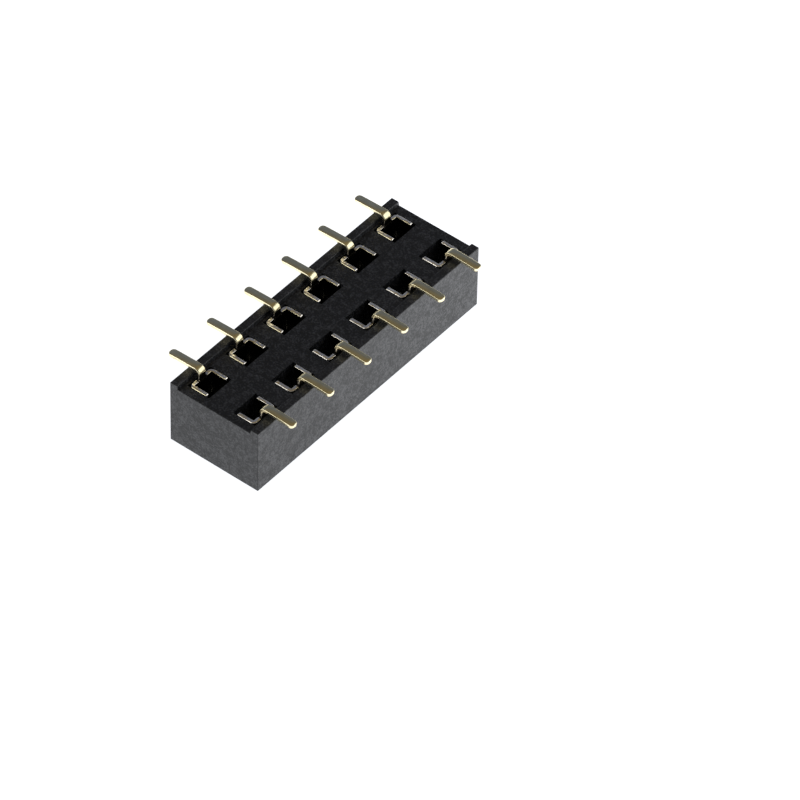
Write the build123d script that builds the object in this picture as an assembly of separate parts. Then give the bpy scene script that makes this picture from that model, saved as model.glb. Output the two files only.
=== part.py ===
from build123d import *
import os

# Low surface-mount socket header with two rows of sockets on a tenth-inch grid.
# One moulded housing holds a stamped and formed contact behind every socket.
# Frame: the origin is the middle of the mating face, which lies at z = 0.
# +Y runs along the rows, +X runs across them and +Z points to the circuit board.

# Grid of the sockets
pitch = 2.54
row_spacing = 2.54
positions_per_row = 6

# Housing block
side_margin = 1.2175
end_margin = 1.25
body_height = 3.29
long_edge_radius = 0.03
end_edge_radius = 0.03

# Standoff ribs along both long edges of the board face
rib_height = 0.20
rib_top_width = 0.41
rib_draft = 0.03
rib_edge_radius = 0.04

# Square pin that the sockets take
pin_size = 0.64
pin_hole_clearance = 0.08
lead_in = 0.15
mating_wall = 0.45

# Cavity behind each socket, which holds one contact
cavity_side_clearance = 0.02
cavity_back_clearance = 0.05
cavity_front_clearance = 0.185
ledge_height = 1.60

# Contact sheet and its channel-shaped body, measured from the pin's axis
sheet = 0.18
inner_bend_radius = 0.04
contact_half_width = 0.745
back_distance = 0.40
arm_reach = 0.41
contact_proud = 0.02
arm_bottom_height = 2.05
tongue_half_width = 0.40

# Spring beams that grip the pin, with the gap between them before the bends are rounded
beam_bend_drop = 0.12
beam_bend_radius = 0.40
grip_gap = 0.38
grip_height = 0.95
grip_radius = 0.25
beam_tip_gap = 0.66
beam_tip_height = 0.58
beam_root_width = 0.60
beam_tip_width = 0.42
beam_tip_radius = 0.12

# Solder tail
tail_width = 0.40
tail_lift = 0.21
tail_bend_radius = 0.14
tail_reach = 2.26
tail_tip_radius = 0.18
tail_nose_radius = 0.06
relief_width = 0.08
relief_depth = 0.17

# Mark left by the moulding gate on the far end face
gate_length = 0.84
gate_width = 0.36
gate_depth = 0.06
gate_height = 1.76
stub_length = 0.42
stub_width = 0.14
stub_drop = 0.02

# Sizes worked out from the driving ones
body_width = row_spacing + 2 * side_margin
body_length = pitch * (positions_per_row - 1) + 2 * end_margin
rib_top = body_height + rib_height
contact_top = body_height + contact_proud
contact_back = back_distance + sheet
pin_hole = pin_size + 2 * pin_hole_clearance
cavity_half_width = contact_half_width + cavity_side_clearance
cavity_back = contact_back + cavity_back_clearance
cavity_front = arm_reach + cavity_front_clearance
beam_bend_height = arm_bottom_height - beam_bend_drop
tail_top = rib_top + tail_lift + sheet


def row_places():
    """Places of the sockets along a row."""
    first = -pitch * (positions_per_row - 1) / 2
    return [first + pitch * step for step in range(positions_per_row)]


def block_between(low, high):
    """Block between two opposite corners."""
    size = [high[axis] - low[axis] for axis in range(3)]
    return Pos(*low) * Box(*size, align=(Align.MIN, Align.MIN, Align.MIN))


def at_socket(shape, side, place):
    """Shape drawn about the right row's pin axis, moved to a socket of either row."""
    handed = shape if side > 0 else mirror(shape, about=Plane.YZ)
    return Pos(side * row_spacing / 2, place, 0) * handed


def housing_section():
    """Section of the housing across the rows, with both ribs and rounded long edges."""
    half = body_width / 2
    rib_inner = half - rib_top_width
    rib_foot = rib_inner - rib_draft
    face = make_face(Polyline(
        (-half, 0), (half, 0),
        (half, rib_top), (rib_inner, rib_top), (rib_foot, body_height),
        (-rib_foot, body_height), (-rib_inner, rib_top), (-half, rib_top),
        close=True,
    ))
    face = fillet(face.vertices().group_by(Axis.Y)[0], long_edge_radius)
    return fillet(face.vertices().group_by(Axis.Y)[-1], rib_edge_radius)


def housing_block():
    """Outer form of the housing: its section at full length, with rounded ends."""
    block = extrude(Plane.XZ * housing_section(), body_length / 2, both=True)
    return fillet(block.faces().filter_by(Axis.Y).edges(), end_edge_radius)


def cavity():
    """Room for one contact, stepped for its seat, with the pin hole and lead-in."""
    upper = block_between(
        (-cavity_front, -cavity_half_width, ledge_height),
        (cavity_back, cavity_half_width, rib_top),
    )
    lower = block_between(
        (-cavity_front, -cavity_half_width, mating_wall),
        (back_distance, cavity_half_width, ledge_height),
    )
    hole = extrude(Rectangle(pin_hole, pin_hole), mating_wall)
    mouth = extrude(Rectangle(pin_hole + 2 * lead_in, pin_hole + 2 * lead_in), lead_in, taper=45)
    return upper + lower + hole + mouth


def gate_mark():
    """Shallow oval recess with the torn stub of the gate left standing in it."""
    end_face = Plane((0, body_length / 2, gate_height), x_dir=(0, 0, 1), z_dir=(0, 1, 0))
    recess = extrude(end_face * SlotOverall(gate_length, gate_width), -gate_depth)
    stub = extrude(end_face.offset(-stub_drop) * Ellipse(stub_length / 2, stub_width / 2), -gate_depth)
    return recess - stub


def housing():
    """The whole moulded housing."""
    room = cavity()
    cuts = [at_socket(room, side, place) for side in (-1, 1) for place in row_places()]
    return housing_block() - cuts - gate_mark()


def sheet_outline(points, radii, side):
    """Closed outline of the sheet's edge, grown to one side of a bent line."""
    line = FilletPolyline(*points, radius=radii)
    return make_face(offset(line, amount=sheet, side=side, closed=True))


def channel():
    """Channel-shaped body: a back wall with an arm at each side and a tongue below."""
    face = sheet_outline(
        [
            (-arm_reach, -contact_half_width), (contact_back, -contact_half_width),
            (contact_back, contact_half_width), (-arm_reach, contact_half_width),
        ],
        inner_bend_radius + sheet,
        Side.LEFT,
    )
    walls = extrude(Pos(0, 0, arm_bottom_height) * face, contact_top - arm_bottom_height)
    tongue = block_between(
        (back_distance, -tongue_half_width, ledge_height),
        (contact_back, tongue_half_width, arm_bottom_height),
    )
    return walls + tongue


def reliefs():
    """Slots beside the root of the tail, which let it bend without tearing the back."""
    slot_at = (tail_width + relief_width) / 2
    slot = Pos(0, contact_top) * SlotOverall(2 * relief_depth, relief_width, rotation=90)
    across = Plane.YZ.offset(back_distance)
    return [extrude(across * Pos(y, 0) * slot, sheet) for y in (-slot_at, slot_at)]


def tail():
    """Solder tail: up from the back wall, over the rib and out to a rounded tip."""
    root = contact_top - relief_depth
    profile = sheet_outline(
        [(back_distance, root), (back_distance, tail_top), (tail_reach, tail_top)],
        tail_bend_radius + sheet,
        Side.RIGHT,
    )
    nose = profile.vertices().group_by(Axis.X)[-1].sort_by(Axis.Y)[-1]
    profile = fillet(nose, tail_nose_radius)
    strip = extrude(Plane.XZ * profile, tail_width / 2, both=True)
    plan = Pos(tail_reach / 2, 0) * Rectangle(tail_reach, tail_width)
    plan = fillet(plan.vertices().group_by(Axis.X)[-1], tail_tip_radius)
    return strip & extrude(plan, tail_top)


def beams():
    """Two spring beams that lean in to grip the pin and flare at their tips."""
    arm_face = contact_half_width - sheet
    profile = sheet_outline(
        [
            (arm_face, arm_bottom_height), (arm_face, beam_bend_height),
            (grip_gap / 2, grip_height), (beam_tip_gap / 2, beam_tip_height),
        ],
        [beam_bend_radius, grip_radius],
        Side.LEFT,
    )
    beam = extrude(Plane.YZ * profile, arm_reach, both=True)
    root = beam_root_width / 2
    tip = beam_tip_width / 2
    outline = make_face(Polyline(
        (-tip, mating_wall), (tip, mating_wall), (tip, grip_height), (root, arm_bottom_height),
        (-root, arm_bottom_height), (-tip, grip_height),
        close=True,
    ))
    beam = beam & extrude(Plane.XZ * outline, contact_half_width, both=True)
    ends = beam.edges().filter_by(lambda edge: abs(edge.length - sheet) < sheet / 100).group_by(Axis.Z)[0]
    beam = fillet(ends, beam_tip_radius)
    return beam + mirror(beam, about=Plane.XZ)


def contact():
    """One stamped and formed contact, drawn about the right row's pin axis."""
    return channel() - reliefs() + tail() + beams()


os.makedirs("parts", exist_ok=True)
export_step(housing(), "parts/housing.step")

formed = contact()
for side, row in ((-1, "left"), (1, "right")):
    for number, place in enumerate(row_places(), start=1):
        export_step(at_socket(formed, side, place), f"parts/contact_{row}_{number}.step")
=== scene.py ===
import math

import bmesh
import bpy
from mathutils import Matrix, Vector


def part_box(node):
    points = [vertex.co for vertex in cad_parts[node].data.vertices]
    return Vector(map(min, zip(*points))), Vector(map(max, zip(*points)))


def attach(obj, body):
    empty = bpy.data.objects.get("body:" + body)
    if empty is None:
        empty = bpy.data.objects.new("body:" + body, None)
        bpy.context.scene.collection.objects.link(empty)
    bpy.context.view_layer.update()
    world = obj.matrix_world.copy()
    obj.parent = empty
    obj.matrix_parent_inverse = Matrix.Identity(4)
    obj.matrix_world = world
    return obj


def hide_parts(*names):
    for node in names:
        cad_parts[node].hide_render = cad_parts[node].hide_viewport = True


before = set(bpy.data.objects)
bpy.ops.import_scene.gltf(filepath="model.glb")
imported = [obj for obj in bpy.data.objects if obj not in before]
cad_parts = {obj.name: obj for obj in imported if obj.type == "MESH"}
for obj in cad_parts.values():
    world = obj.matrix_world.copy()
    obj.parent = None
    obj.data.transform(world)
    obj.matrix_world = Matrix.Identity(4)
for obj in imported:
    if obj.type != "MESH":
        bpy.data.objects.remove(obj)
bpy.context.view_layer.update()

# Lengths are in metres in the CAD frame: the mating face lies at z = 0 and +Z points to the board
mm = 0.001

# Contact, measured from its pin's axis
row_offset = 1.27 * mm
sheet = 0.18 * mm
back_distance = 0.40 * mm
arm_face = 0.565 * mm
inner_bend = 0.04 * mm
arm_reach = 0.41 * mm
arm_bottom = 2.05 * mm
arm_corner_radius = 0.24 * mm
contact_top = 3.31 * mm
tongue_half_width = 0.40 * mm
ledge_height = 1.60 * mm
slot_inner = 0.215 * mm
slot_outer = 0.28 * mm
slot_bottom = 3.14 * mm

# Spring beams
beam_half_root = 0.30 * mm
beam_half_tip = 0.21 * mm
beam_bend_height = 1.93 * mm
beam_bend_radius = 0.40 * mm
grip_place = 0.19 * mm
grip_height = 0.95 * mm
grip_radius = 0.25 * mm
beam_tip_place = 0.33 * mm
beam_tip_height = 0.58 * mm
beam_tip_radius = 0.12 * mm

# Solder tail
tail_bend = 0.32 * mm
tail_tip_radius = 0.18 * mm
tail_crown = 0.012 * mm
tail_droop = 0.045 * mm

# Rounding of the strip's sheared edges
tail_far_radius = 0.045 * mm
tail_near_radius = 0.021 * mm
channel_corner_radius = 0.08 * mm
channel_outer_radius = 0.03 * mm
channel_inner_radius = 0.02 * mm

# Facets: columns across half the tail as shares of its width, the steps in each bend and
# rounding, and the angle past which an edge shows as a crease
tail_columns = (0, 0.38, 0.70, 1)
corner_steps = 5
tail_bend_steps = 9
tail_run_steps = 4
tail_tip_steps = 6
beam_bend_steps = 5
grip_steps = 8
outline_steps = 4
rim_steps = 3
crease_angle = math.radians(40)

# Slack when the places of the strip's vertices are compared, and the gap that is welded shut
same_place = 0.002 * mm
slack = 0.001 * mm
beam_margin = 0.05 * mm
root_margin = 0.01 * mm
weld_gap = 0.0005 * mm

# Plastic: the mottling's share in its pattern and its relief
mottle_share = 0.3
plastic_relief = 0.030 * mm

# Glass flecks: their size in shares of a cell, the draw from which a cell has one, and their tone
fleck_scale = 5200
fleck_rim = 0.24
fleck_core = 0.10
fleck_draw = 0.90
fleck_tone = 0.045

# Painted light on the tops of the ribs, lighter than the recessed board face: the tone added, and
# the heights between which it comes in
rib_top_light_tone = 0.003
rib_top_light_from = 3.42 * mm
rib_top_light_fully = 3.48 * mm

# Plating: the blotches' share in its pattern, how far the pattern goes in tone and roughness,
# the heights over which painted shade darkens the pocket and the tail's root, and those between
# which the shear marks fade
blotch_share = 0.4
worn_tone = 0.78
roughness_swing = 0.08
painted_shade_bottom = 3.10 * mm
painted_shade_top = 3.70 * mm
marks_full = 3.32 * mm
marks_faint = 3.44 * mm

# Light scratches and specks on the housing: both ends and the width, in millimetres,
# and the distances from the line, in widths, between which their tone comes in
scratch_rim = 0.6
scratch_core = 0.3
scratches = [
    ((2.4875, 6.673, 1.712), (2.4875, 7.099, 1.674), 0.05),
    ((2.4875, 1.899, 0.66), (2.4875, 1.911, 0.185), 0.06),
    ((2.4875, -7.56, 2.75), (2.4875, -7.56, 1.95), 0.05),
    ((-0.531, -7.6, 1.174), (-0.077, -7.6, 1.162), 0.04),
    ((-0.077, -7.6, 1.162), (0.491, -7.6, 1.471), 0.04),
    ((-0.32, -7.6, 2.434), (-0.28, -7.6, 2.434), 0.08),
    ((0.69, -7.311, 3.29), (0.72, -7.311, 3.29), 0.07),
    ((-1.40, -7.455, 3.29), (-1.37, -7.455, 3.29), 0.07),
]

# Floor: its size, its gap below the object and its colour, then the colour of its glow with the
# levels for the camera and for reflections, which go from near to far over twice the reach
floor_radius = 0.3
floor_gap = 0.01 * mm
floor_colour = (0.775, 0.79, 0.825, 1)
glow_colour = (0.96, 0.975, 1, 1)
seen_glow = 0.9
near_glow = 0.94
far_glow = 1.53
glow_reach = 12 * mm

# Softboxes: direction, distance, side length, and share of the plain light level
lamp_colour = (0.955, 0.98, 1)
softboxes = {
    "right_back": ((0.64, 0.58, 0.50), 0.07, 0.056, 0.31),
    "left_front": ((-0.55, -0.80, 0.45), 0.4, 0.26, 0.32),
}

# Camera, from the photo's perspective
lens = 322.1
sensor_width = 36
view_azimuth = math.radians(38.213)
view_elevation = math.radians(45.067)
view_roll = math.radians(1.323)
view_distance = 0.31419
view_aim = Vector((3.679, 0.697, 0.015)) * mm


def near(value, target):
    """True if two lengths are the same for this object."""
    return abs(value - target) < same_place


def between(first, last, share):
    """A value that lies a share of the way from a first value to a last one."""
    return first + share * (last - first)


def edges_among(verts):
    """Edges that have both ends in a list of vertices."""
    return list(dict.fromkeys(
        edge for vert in verts for edge in vert.link_edges if edge.other_vert(vert) in verts
    ))


def verts_of(made):
    """Vertices in what an operator returned."""
    return [item for item in made if isinstance(item, bmesh.types.BMVert)]


def walk(bm, vert, points):
    """Draws a line of edges from a vertex through points, and returns its vertices."""
    line = [vert]
    for point in points:
        made = bmesh.ops.extrude_vert_indiv(bm, verts=[line[-1]])["verts"][0]
        made.co = point
        line.append(made)
    return line


def pull(bm, verts, way):
    """Extrudes the edges among vertices along a way, and returns the new front vertices."""
    front = verts_of(bmesh.ops.extrude_edge_only(bm, edges=edges_among(verts))["geom"])
    bmesh.ops.translate(bm, verts=front, vec=way)
    return front


def roll(bm, verts, centre, axis, angle, steps):
    """Spins vertices and the edges among them round an axis, and returns the new front vertices."""
    made = bmesh.ops.spin(
        bm, geom=verts + edges_among(verts), cent=centre, axis=axis, angle=angle, steps=steps,
        use_duplicate=False,
    )
    return verts_of(made["geom_last"])


def round_corners(bm, verts, radius):
    """Rounds the sheet's outline at some of its corners."""
    bmesh.ops.bevel(
        bm, geom=verts, offset=radius, offset_type="OFFSET", segments=outline_steps, profile=0.5,
        affect="VERTICES", material=-1,
    )


def crown(place):
    """How far the strip's face falls off at a place across it."""
    return tail_crown * (place / slot_inner) ** 2


def form_channel(bm):
    """Half of the channel-shaped body: back wall, corner, arm and tongue, with the relief slot."""
    slot_middle = (slot_inner + slot_outer) / 2
    slot_radius = (slot_outer - slot_inner) / 2
    columns = [slot_inner * share for share in tail_columns]
    columns += [slot_middle, slot_outer, tongue_half_width, arm_face - inner_bend]
    start = bm.verts.new((back_distance, 0, arm_bottom))
    line = walk(bm, start, [(back_distance, place, arm_bottom) for place in columns[1:]])
    corner = (back_distance - inner_bend, arm_face - inner_bend, arm_bottom)
    turned = roll(bm, line[-1:], corner, (0, 0, 1), math.pi / 2, corner_steps)[0]
    stops = [beam_half_root, -beam_half_root, -arm_reach]
    walk(bm, turned, [(place, arm_face, arm_bottom) for place in stops])
    front = pull(bm, list(bm.verts), (0, 0, slot_bottom + slot_radius - arm_bottom))
    pull(bm, front, (0, 0, contact_top - slot_bottom - slot_radius))
    open_slot(bm, front, slot_middle, slot_radius)
    tongue = [
        vert for vert in bm.verts
        if near(vert.co.x, back_distance) and near(vert.co.z, arm_bottom)
        and vert.co.y < tongue_half_width + slack
    ]
    pull(bm, tongue, (0, 0, ledge_height - arm_bottom))


def open_slot(bm, foot, slot_middle, slot_radius):
    """Cuts the relief slot beside the tail's root, with a rounded foot."""
    for vert in foot:
        if near(vert.co.x, back_distance) and near(vert.co.y, slot_middle):
            vert.co.z -= slot_radius
    inside = [
        face for face in bm.faces
        if near(face.calc_center_median().x, back_distance)
        and slot_inner < face.calc_center_median().y < slot_outer
        and face.calc_center_median().z > slot_bottom
    ]
    bmesh.ops.delete(bm, geom=inside, context="FACES")


def form_tail(bm, tail_top, tail_end):
    """Half of the solder tail: up from the back wall, over and out to its rounded tip."""
    root = [
        vert for vert in bm.verts
        if near(vert.co.z, contact_top) and near(vert.co.x, back_distance)
        and vert.co.y < slot_inner + slack
    ]
    front = pull(bm, root, (0, 0, tail_top - tail_bend - contact_top))
    for vert in front:
        vert.co.x += crown(vert.co.y)
    centre = (back_distance + tail_bend, 0, tail_top - tail_bend)
    front = roll(bm, front, centre, (0, 1, 0), math.pi / 2, tail_bend_steps)
    run = tail_end - tail_tip_radius - centre[0]
    for _ in range(tail_run_steps):
        front = pull(bm, front, (run / tail_run_steps, 0, 0))
    close_tip(bm, front, tail_top, tail_end)
    for vert in bm.verts:
        if vert.co.x > centre[0]:
            vert.co.z -= tail_droop * ((vert.co.x - centre[0]) / (tail_end - centre[0])) ** 2


def close_tip(bm, front, tail_top, tail_end):
    """Half of the tail's rounded end, as one face in front of the strip."""
    outer = max(front, key=lambda vert: vert.co.y)
    middle = min(front, key=lambda vert: vert.co.y)
    points = []
    for step in range(1, tail_tip_steps + 1):
        turn = math.pi / 2 * step / tail_tip_steps
        reach = tail_end - tail_tip_radius * (1 - math.sin(turn))
        place = slot_inner - tail_tip_radius * (1 - math.cos(turn))
        points.append((reach, place, tail_top - crown(place)))
    points.append((tail_end, 0, tail_top))
    rim = walk(bm, outer, points)
    closing = bmesh.ops.contextual_create(bm, geom=[rim[-1], middle])["edges"]
    bmesh.ops.contextual_create(bm, geom=edges_among(front) + edges_among(rim) + closing)


def form_beam(bm):
    """One spring beam, bent in from the arm to grip the pin and flared at its tip."""
    lean = Vector((0, grip_place - arm_face, grip_height - beam_bend_height))
    flare = Vector((0, beam_tip_place - grip_place, beam_tip_height - grip_height))
    lean_angle = math.atan2(-lean.y, -lean.z)
    flare_angle = math.atan2(flare.y, -flare.z)
    first_cut = beam_bend_radius * math.tan(lean_angle / 2)
    second_cut = grip_radius * math.tan((lean_angle + flare_angle) / 2)
    root = [
        vert for vert in bm.verts
        if near(vert.co.z, arm_bottom) and near(vert.co.y, arm_face)
        and near(abs(vert.co.x), beam_half_root)
    ]
    front = pull(bm, root, (0, 0, beam_bend_height + first_cut - arm_bottom))
    centre = (0, arm_face - beam_bend_radius, beam_bend_height + first_cut)
    front = roll(bm, front, centre, (1, 0, 0), -lean_angle, beam_bend_steps)
    front = pull(bm, front, lean * (1 - (first_cut + second_cut) / lean.length))
    outward = Vector((0, -lean.z, lean.y)).normalized()
    centre = sum((vert.co.copy() for vert in front), Vector()) / len(front) + outward * grip_radius
    front = roll(bm, front, centre, (1, 0, 0), lean_angle + flare_angle, grip_steps)
    front = pull(bm, front, flare * (1 - second_cut / flare.length))
    narrow_beam(bm)
    round_corners(bm, front, beam_tip_radius)


def narrow_beam(bm):
    """Narrows the beam from its root down to its grip."""
    for vert in bm.verts:
        below = vert.co.z < arm_bottom - slack
        clear_of_tongue = vert.co.x < back_distance - beam_margin
        if below and clear_of_tongue and vert.co.y > grip_place - beam_margin:
            share = min(1, (arm_bottom - vert.co.z) / (arm_bottom - grip_height))
            vert.co.x *= between(1, beam_half_tip / beam_half_root, share)


def formed_sheet(tail_top, tail_end):
    """The whole contact as a bent sheet with no thickness, on the side that faces the pin."""
    bm = bmesh.new()
    form_channel(bm)
    form_tail(bm, tail_top, tail_end)
    form_beam(bm)
    arm_end = [
        vert for vert in bm.verts if near(vert.co.x, -arm_reach) and near(vert.co.z, contact_top)
    ]
    round_corners(bm, arm_end, arm_corner_radius)
    bmesh.ops.remove_doubles(bm, verts=bm.verts, dist=weld_gap)
    half = list(bm.verts) + list(bm.edges) + list(bm.faces)
    bmesh.ops.mirror(bm, geom=half, axis="Y", merge_dist=weld_gap)
    bmesh.ops.remove_doubles(bm, verts=bm.verts, dist=weld_gap)
    bmesh.ops.recalc_face_normals(bm, faces=bm.faces)
    highest = max(bm.faces, key=lambda face: face.calc_center_median().z)
    if highest.normal.z < 0:
        bmesh.ops.reverse_faces(bm, faces=bm.faces)
    return bm


def rim_radius(edge):
    """Rounding of a sheared edge, larger on the tail's far side and at the channel's corners."""
    middle = (edge.verts[0].co + edge.verts[1].co) / 2
    if any(vert.co.z > contact_top + root_margin for vert in edge.verts):
        share = min(1, max(0, (middle.y / slot_inner + 1) / 2))
        return between(tail_near_radius, tail_far_radius, share)
    face = next(face for face in edge.link_faces if face.material_index == 0)
    place = face.calc_center_median()
    if face.normal.x * place.x + face.normal.y * place.y < 0:
        return channel_inner_radius
    # The middle of a corner's outer bend lies this far past the sheet's inner faces
    outer_bend = sheet + inner_bend
    bend = outer_bend * math.sqrt(0.5) - inner_bend
    away = math.hypot(middle.x - back_distance - bend, abs(middle.y) - arm_face - bend)
    share = max(0, 1 - away / outer_bend)
    return between(channel_outer_radius, channel_corner_radius, share)


def in_scene(name, data):
    """A new object in the scene."""
    made = bpy.data.objects.new(name, data)
    bpy.context.scene.collection.objects.link(made)
    return made


def mesh_from(bm, name):
    """A mesh with the shape of a bmesh that has done its work."""
    mesh = bpy.data.meshes.new(name)
    bm.to_mesh(mesh)
    bm.free()
    return mesh


def give_finishes(mesh):
    """Gives a contact's mesh its plated face and its sheared edge."""
    mesh.materials.append(plated_face)
    mesh.materials.append(sheared_edge)


def finished(mesh, kind, **settings):
    """A copy of a mesh with one modifier applied."""
    part = in_scene("contact_sheet", mesh)
    modifier = part.modifiers.new(kind.title(), kind)
    for key, value in settings.items():
        setattr(modifier, key, value)
    bpy.context.view_layer.update()
    shaped = part.evaluated_get(bpy.context.evaluated_depsgraph_get())
    made = bpy.data.meshes.new_from_object(shaped)
    bpy.data.objects.remove(part)
    return made


def thickened(bm):
    """Gives the sheet its thickness and rounds its sheared edges."""
    mesh = mesh_from(bm, "contact_sheet")
    give_finishes(mesh)
    solid = finished(
        mesh, "SOLIDIFY", thickness=sheet, offset=-1, use_even_offset=True, material_offset_rim=1,
    )
    shell = bmesh.new()
    shell.from_mesh(solid)
    weight = shell.edges.layers.float.new("bevel_weight_edge")
    for edge in shell.edges:
        if len({face.material_index for face in edge.link_faces}) == 2:
            edge[weight] = rim_radius(edge) / channel_corner_radius
    shell.to_mesh(solid)
    shell.free()
    return finished(
        solid, "BEVEL", width=channel_corner_radius, offset_type="OFFSET", limit_method="WEIGHT",
        segments=rim_steps, profile=0.5, material=-1, use_clamp_overlap=True,
    )


def place_contact(solid, node):
    """Puts a copy of the formed contact where a CAD contact is, turned to face its row."""
    low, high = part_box(node)
    side = 1 if low.x + high.x > 0 else -1
    bm = bmesh.new()
    bm.from_mesh(solid)
    if side < 0:
        half_turn = Matrix.Rotation(math.pi, 3, "Z")
        bmesh.ops.rotate(bm, cent=(0, 0, 0), matrix=half_turn, verts=bm.verts)
    bmesh.ops.translate(bm, vec=(side * row_offset, (low.y + high.y) / 2, 0), verts=bm.verts)
    mesh = mesh_from(bm, f"plated_{node}")
    give_finishes(mesh)
    mesh.shade_smooth()
    mesh.set_sharp_from_angle(angle=crease_angle)
    piece = in_scene(f"plated_{node}", mesh)
    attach(piece, "root")
    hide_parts(node)


def new_material(name):
    """An empty material with its nodes and its shader."""
    material = bpy.data.materials.new(name)
    material.use_nodes = True
    return material, material.node_tree, material.node_tree.nodes["Principled BSDF"]


def feed(node, inputs):
    """Sets a node's inputs to values, or links them to outputs of other nodes."""
    for key, value in inputs.items():
        if isinstance(value, bpy.types.NodeSocket):
            node.id_data.links.new(value, node.inputs[key])
        else:
            node.inputs[key].default_value = value


def add(tree, kind, inputs, **options):
    """Adds a node with its inputs fed, and returns its outputs."""
    node = tree.nodes.new(kind)
    for key, value in options.items():
        setattr(node, key, value)
    feed(node, inputs)
    return node.outputs


def reckon(tree, operation, *terms):
    """A number worked out from others."""
    terms = dict(enumerate(terms))
    return add(tree, "ShaderNodeMath", terms, operation=operation)["Value"]


def reckon_vector(tree, operation, *terms):
    """What is worked out from places or colours, as a vector or a value."""
    terms = dict(enumerate(terms))
    return add(tree, "ShaderNodeVectorMath", terms, operation=operation)


def ranged(tree, value, low, high, first=0, last=1):
    """A number that goes from first to last while a value goes from low to high."""
    ends = {"From Min": low, "From Max": high, "To Min": first, "To Max": last}
    return add(tree, "ShaderNodeMapRange", {"Value": value, **ends})["Result"]


def noise(tree, place, scale, detail, roughness):
    """A cloudy pattern, with its scale in repeats per metre."""
    inputs = {"Vector": place, "Scale": scale, "Detail": detail, "Roughness": roughness}
    return add(tree, "ShaderNodeTexNoise", inputs)["Fac"]


def ramp(tree, value, stops):
    """Colours that change between stops, each with its place and its colour."""
    node = tree.nodes.new("ShaderNodeValToRGB")
    feed(node, {"Fac": value})
    marks = node.color_ramp.elements
    while len(marks) < len(stops):
        marks.new(0.5)
    for mark, (place, colour) in zip(marks, stops):
        mark.position = place
        mark.color = (*colour, 1)
    return node.outputs["Color"]


def grey(value):
    """A neutral colour."""
    return (value, value, value)


def object_place(tree):
    """Places on the piece, in its own coordinates."""
    return add(tree, "ShaderNodeTexCoord", {})["Object"]


def parts_of(tree, place):
    """The three coordinates of a place."""
    return add(tree, "ShaderNodeSeparateXYZ", {"Vector": place})


def blended(tree, first, second, share):
    """Two patterns added together, the second with its share."""
    part = reckon(tree, "MULTIPLY", second, share)
    return reckon(tree, "MULTIPLY_ADD", first, 1 - share, part)


def scratch_cover(tree, place, start, end, width):
    """How far a scratch between two points covers each place."""
    run = end - start
    offset = reckon_vector(tree, "SUBTRACT", place, start)["Vector"]
    along = reckon_vector(tree, "DOT_PRODUCT", offset, run / run.length_squared)["Value"]
    held = add(tree, "ShaderNodeClamp", {"Value": along})["Result"]
    nearest = reckon_vector(tree, "MULTIPLY", held, run)["Vector"]
    away = reckon_vector(tree, "DISTANCE", offset, nearest)["Value"]
    return ranged(tree, away, scratch_rim * width, scratch_core * width)


def glass_flecks(tree, place):
    """Sparse pale points where the glass filling shows at the surface."""
    cells = add(tree, "ShaderNodeTexVoronoi", {"Vector": place, "Scale": fleck_scale})
    spot = ranged(tree, cells["Distance"], fleck_rim, fleck_core)
    draw = add(tree, "ShaderNodeSeparateColor", {"Color": cells["Color"]})["Red"]
    few = ranged(tree, draw, fleck_draw, 1)
    return reckon(tree, "MULTIPLY", spot, few)


def moulded_plastic():
    """Near black glass-filled plastic: moulded grain, soft mottling, flecks, a few scratches and
    painted light on the rib tops.
    """
    material, tree, shader = new_material("moulded_plastic")
    place = object_place(tree)
    grain = noise(tree, place, scale=11500, detail=3, roughness=0.65)
    mottle = noise(tree, place, scale=3000, detail=2, roughness=0.5)
    surface = blended(tree, grain, mottle, mottle_share)
    tone = ramp(tree, surface, [
        (0.43, grey(0.0002)), (0.505, (0.0039, 0.0041, 0.0050)), (0.585, (0.042, 0.0425, 0.045)),
    ])
    pale = glass_flecks(tree, place)
    for start, end, width in scratches:
        cover = scratch_cover(tree, place, Vector(start) * mm, Vector(end) * mm, width * mm)
        pale = reckon(tree, "MAXIMUM", pale, cover)
    lightened = reckon_vector(tree, "MULTIPLY_ADD", pale, grey(fleck_tone), tone)["Vector"]
    # Painted light: the rib tops, above the recess of the board face, get a lighter tone
    rib_top_light = ranged(tree, parts_of(tree, place)["Z"], rib_top_light_from, rib_top_light_fully)
    colour = reckon_vector(tree, "MULTIPLY_ADD", rib_top_light, grey(rib_top_light_tone), lightened)
    relief = {"Height": surface, "Strength": 0.6, "Distance": plastic_relief}
    feed(shader, {
        "Base Color": colour["Vector"],
        "Roughness": ranged(tree, surface, low=0.42, high=0.58, first=0.53, last=0.33),
        "Normal": add(tree, "ShaderNodeBump", relief)["Normal"],
        "IOR": 1.50,
    })
    return material


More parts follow.
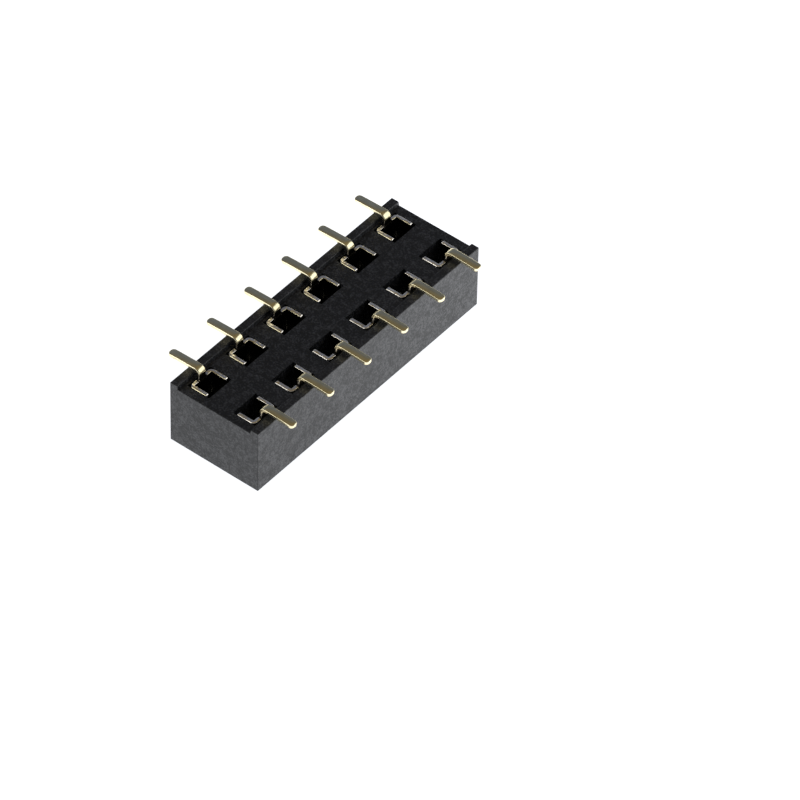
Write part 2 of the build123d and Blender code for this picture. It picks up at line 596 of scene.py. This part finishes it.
def plated_metal(name, colour, tail_tint, roughness, marks_scale, drawn_out, marks_relief):
    """Thin pale gold plating on rolled strip, with painted shade that darkens it down in the pocket
    and on the tail's root below its bend.
    """
    material, tree, shader = new_material(name)
    place = object_place(tree)
    stretched = {"Vector": place, "Scale": (1 / drawn_out, 1, 1)}
    drawn = add(tree, "ShaderNodeMapping", stretched)["Vector"]
    marks = noise(tree, drawn, marks_scale, detail=2, roughness=0.45)
    blotches = noise(tree, place, scale=1300, detail=2, roughness=0.5)
    surface = blended(tree, marks, blotches, blotch_share)
    worn = [worn_tone * part for part in colour]
    tone = ramp(tree, surface, [(0.34, worn), (0.64, colour)])
    height = parts_of(tree, place)["Z"]
    # Painted shade by height: dark down in the pocket, full tone on the arms' tops, dark again on
    # the tail's root under its bend, then rising through the bend to the tail's own tint on top
    painted_shade = ramp(tree, ranged(tree, height, painted_shade_bottom, painted_shade_top), [
        (0.00, grey(0.06)), (0.18, grey(0.09)), (0.28, grey(1)), (0.36, grey(1)),
        (0.395, grey(0.08)), (0.53, grey(0.10)), (0.70, grey(0.32)), (0.93, tail_tint),
    ])
    relief = {
        "Height": surface,
        "Strength": ranged(tree, height, marks_full, marks_faint, first=1, last=0.06),
        "Distance": marks_relief,
    }
    dull = roughness + roughness_swing
    bright = roughness - roughness_swing
    feed(shader, {
        "Base Color": reckon_vector(tree, "MULTIPLY", tone, painted_shade)["Vector"],
        "Roughness": ranged(tree, surface, low=0, high=1, first=dull, last=bright),
        "Normal": add(tree, "ShaderNodeBump", relief)["Normal"],
        "Metallic": 1,
    })
    return material


def softbox(name, direction, distance, size, share):
    """A square lamp that faces the object and brings a share of the plain light level."""
    lamp = bpy.data.lights.new(name, "AREA")
    lamp.shape = "SQUARE"
    lamp.size = size
    # With a share of 1, a white face square to the lamp renders as white
    lamp.energy = share * math.pi ** 2 * distance ** 2
    lamp.color = lamp_colour
    holder = in_scene(name, lamp)
    away = Vector(direction).normalized()
    holder.location = away * distance
    holder.rotation_mode = "QUATERNION"
    holder.rotation_quaternion = away.to_track_quat("Z", "Y")
    holder.visible_camera = False


def studio_world():
    """A surround that is white at the horizon and dims above, as in a plain studio."""
    world = bpy.data.worlds.new("studio")
    world.use_nodes = True
    tree = world.node_tree
    way = add(tree, "ShaderNodeTexCoord", {})["Generated"]
    tone = ramp(tree, parts_of(tree, way)["Z"], [
        (0.00, grey(1.0)), (0.05, grey(1.0)), (0.15, (0.26, 0.29, 0.36)),
        (0.45, (0.15, 0.165, 0.20)), (0.66, (0.12, 0.15, 0.25)), (0.72, (0.13, 0.135, 0.14)),
        (0.80, (0.17, 0.145, 0.10)), (0.90, (0.21, 0.165, 0.09)), (1.00, (0.22, 0.19, 0.14)),
    ])
    feed(tree.nodes["Background"], {"Color": tone})
    bpy.context.scene.world = world


def floor_finish():
    """Matt white that the camera sees as white, and that glows in the object's reflections."""
    material, tree, shader = new_material("white_floor")
    behind = parts_of(tree, object_place(tree))["Y"]
    glow = ranged(tree, behind, -glow_reach, glow_reach, near_glow, far_glow)
    ray = add(tree, "ShaderNodeLightPath", {})
    mirrored = reckon(tree, "ADD", ray["Is Glossy Ray"], ray["Is Transmission Ray"])
    shown = reckon(tree, "MULTIPLY", mirrored, glow)
    feed(shader, {
        "Base Color": floor_colour,
        "Roughness": 1,
        "Specular IOR Level": 0,
        "Emission Color": glow_colour,
        "Emission Strength": reckon(tree, "MULTIPLY_ADD", ray["Is Camera Ray"], seen_glow, shown),
    })
    return material


def white_floor():
    """A plain white floor that keeps the object's shadow, a hair below its mating face."""
    bm = bmesh.new()
    bmesh.ops.create_circle(bm, cap_ends=True, segments=96, radius=floor_radius)
    bmesh.ops.translate(bm, vec=(0, 0, -floor_gap), verts=bm.verts)
    floor = in_scene("floor", mesh_from(bm, "floor"))
    floor.data.materials.append(floor_finish())


def photo_camera():
    """A long lens at the photo's viewing angle."""
    back = Vector((
        math.sin(view_azimuth) * math.cos(view_elevation),
        -math.cos(view_azimuth) * math.cos(view_elevation),
        math.sin(view_elevation),
    ))
    data = bpy.data.cameras.new("photo_camera")
    data.lens = lens
    data.sensor_width = sensor_width
    data.clip_start = 0.01
    data.clip_end = 2
    camera = in_scene("photo_camera", data)
    camera.rotation_mode = "QUATERNION"
    level = (-back).to_track_quat("-Z", "Y")
    camera.rotation_quaternion = level @ Matrix.Rotation(view_roll, 3, "Z").to_quaternion()
    camera.location = view_aim + back * view_distance
    bpy.context.scene.camera = camera


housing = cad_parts["housing"]
housing.data.materials.clear()
housing.data.materials.append(moulded_plastic())

plated_face = plated_metal(
    "plated_face", colour=(0.90, 0.80, 0.50), tail_tint=grey(1), roughness=0.22,
    marks_scale=14000, drawn_out=5, marks_relief=0.002 * mm,
)
sheared_edge = plated_metal(
    "sheared_edge", colour=(0.98, 0.91, 0.79), tail_tint=(1, 0.97, 0.75), roughness=0.27,
    marks_scale=2600, drawn_out=1, marks_relief=0.11 * mm,
)

contact_nodes = sorted(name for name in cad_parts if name.startswith("contact_"))
tip_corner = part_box(next(name for name in contact_nodes if "right" in name))[1]
formed = thickened(formed_sheet(tip_corner.z, tip_corner.x - row_offset))
for node in contact_nodes:
    place_contact(formed, node)

studio_world()
white_floor()
for name, setting in softboxes.items():
    softbox(name, *setting)
photo_camera()
bpy.context.scene.view_settings.view_transform = "Standard"
